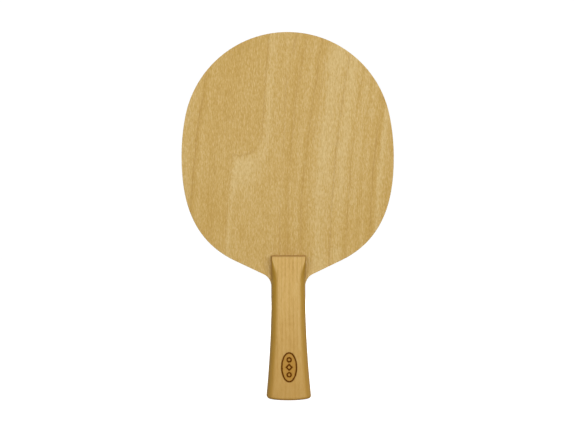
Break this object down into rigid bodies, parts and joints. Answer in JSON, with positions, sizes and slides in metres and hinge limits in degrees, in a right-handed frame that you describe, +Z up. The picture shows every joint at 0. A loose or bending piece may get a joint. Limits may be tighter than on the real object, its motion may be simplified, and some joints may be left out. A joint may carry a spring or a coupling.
{
  "type": "table tennis blade",
  "caption": "Bare wooden table tennis blade: a rounded laminated head with sloping shoulders and a flared handle made of two glued scales.",
  "frame": {"origin": "under the lowest point of the butt, on the centre line and in the middle of the blade's thickness", "axes": "+Z runs up the handle to the tip of the head; the front, with the mark on its handle scale, looks along -Y; +X is to the right as seen from the front"},
  "size_m": [0.1484, 0.0246, 0.257],
  "materials": {
    "core_veneer": "sawn edge, matt, pale and porous",
    "cross_veneer": "sanded edge, matt, end grain showing",
    "face_veneer": "fine sanded, unvarnished, straight grain along the handle",
    "handle_wood": "fine sanded, straight fine grain, with a branded mark on the front"
  },
  "bodies": {
    "root": {"core_ply": "core_veneer", "front_cross_ply": "cross_veneer", "back_cross_ply": "cross_veneer", "front_face_ply": "face_veneer", "back_face_ply": "face_veneer", "front_handle_scale": "handle_wood", "back_handle_scale": "handle_wood"}
  },
  "joints": []
}
